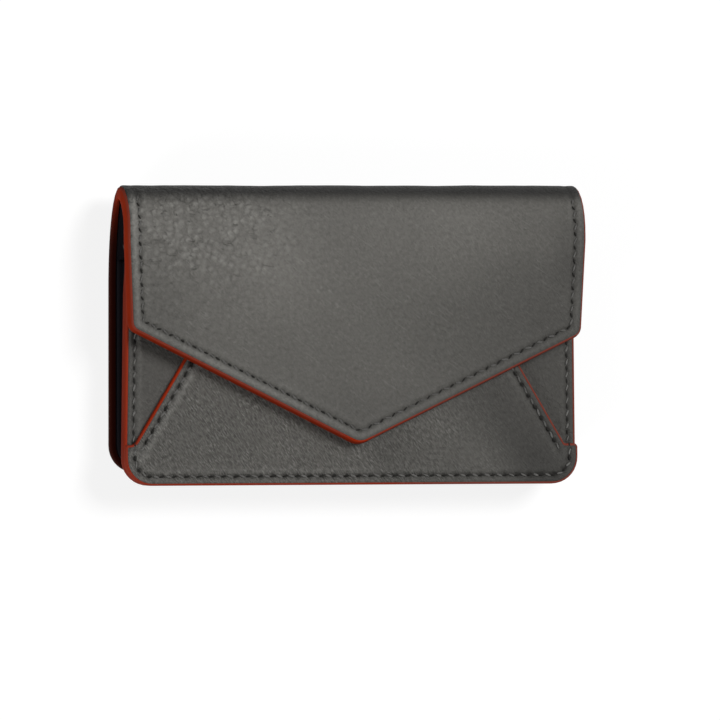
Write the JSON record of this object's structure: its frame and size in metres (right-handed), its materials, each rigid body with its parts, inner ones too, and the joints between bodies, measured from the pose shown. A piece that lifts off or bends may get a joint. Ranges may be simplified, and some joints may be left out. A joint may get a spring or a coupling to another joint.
{
  "type": "business card holder",
  "caption": "Envelope-style leather business card holder with a pointed flap, contrast edges, gusseted pocket and magnetic snap.",
  "frame": {"origin": "centre of the closed case, on the surface that its back lies on", "axes": "+X across the case, +Y towards the fold at its top, +Z out of its front"},
  "size_m": [0.11, 0.0686, 0.016],
  "materials": {
    "leather": "grey pebbled leather, satin",
    "painted_edge": "red painted edge, satin",
    "lining": "black lining, matt",
    "snap_metal": "nickel plate",
    "magnet": "bare ferrite"
  },
  "bodies": {
    "case": {"back_leather": "leather", "back_core": "painted_edge", "back_lining": "lining", "pocket_leather": "leather", "pocket_core": "painted_edge", "pocket_lining": "lining", "envelope_leather": "leather", "envelope_core": "painted_edge", "gusset": "lining", "snap_socket": "snap_metal", "snap_magnet": "magnet"},
    "flap": {"flap_leather": "leather", "flap_core": "painted_edge", "flap_lining": "lining", "snap_stud": "snap_metal"}
  },
  "joints": [
    {"name": "flap_hinge", "type": "hinge", "parent": "case", "child": "flap", "pos_m": [0, 0.0345, 0.008], "axis": [-1, 0, 0], "range_deg": [0, 172]}
  ]
}
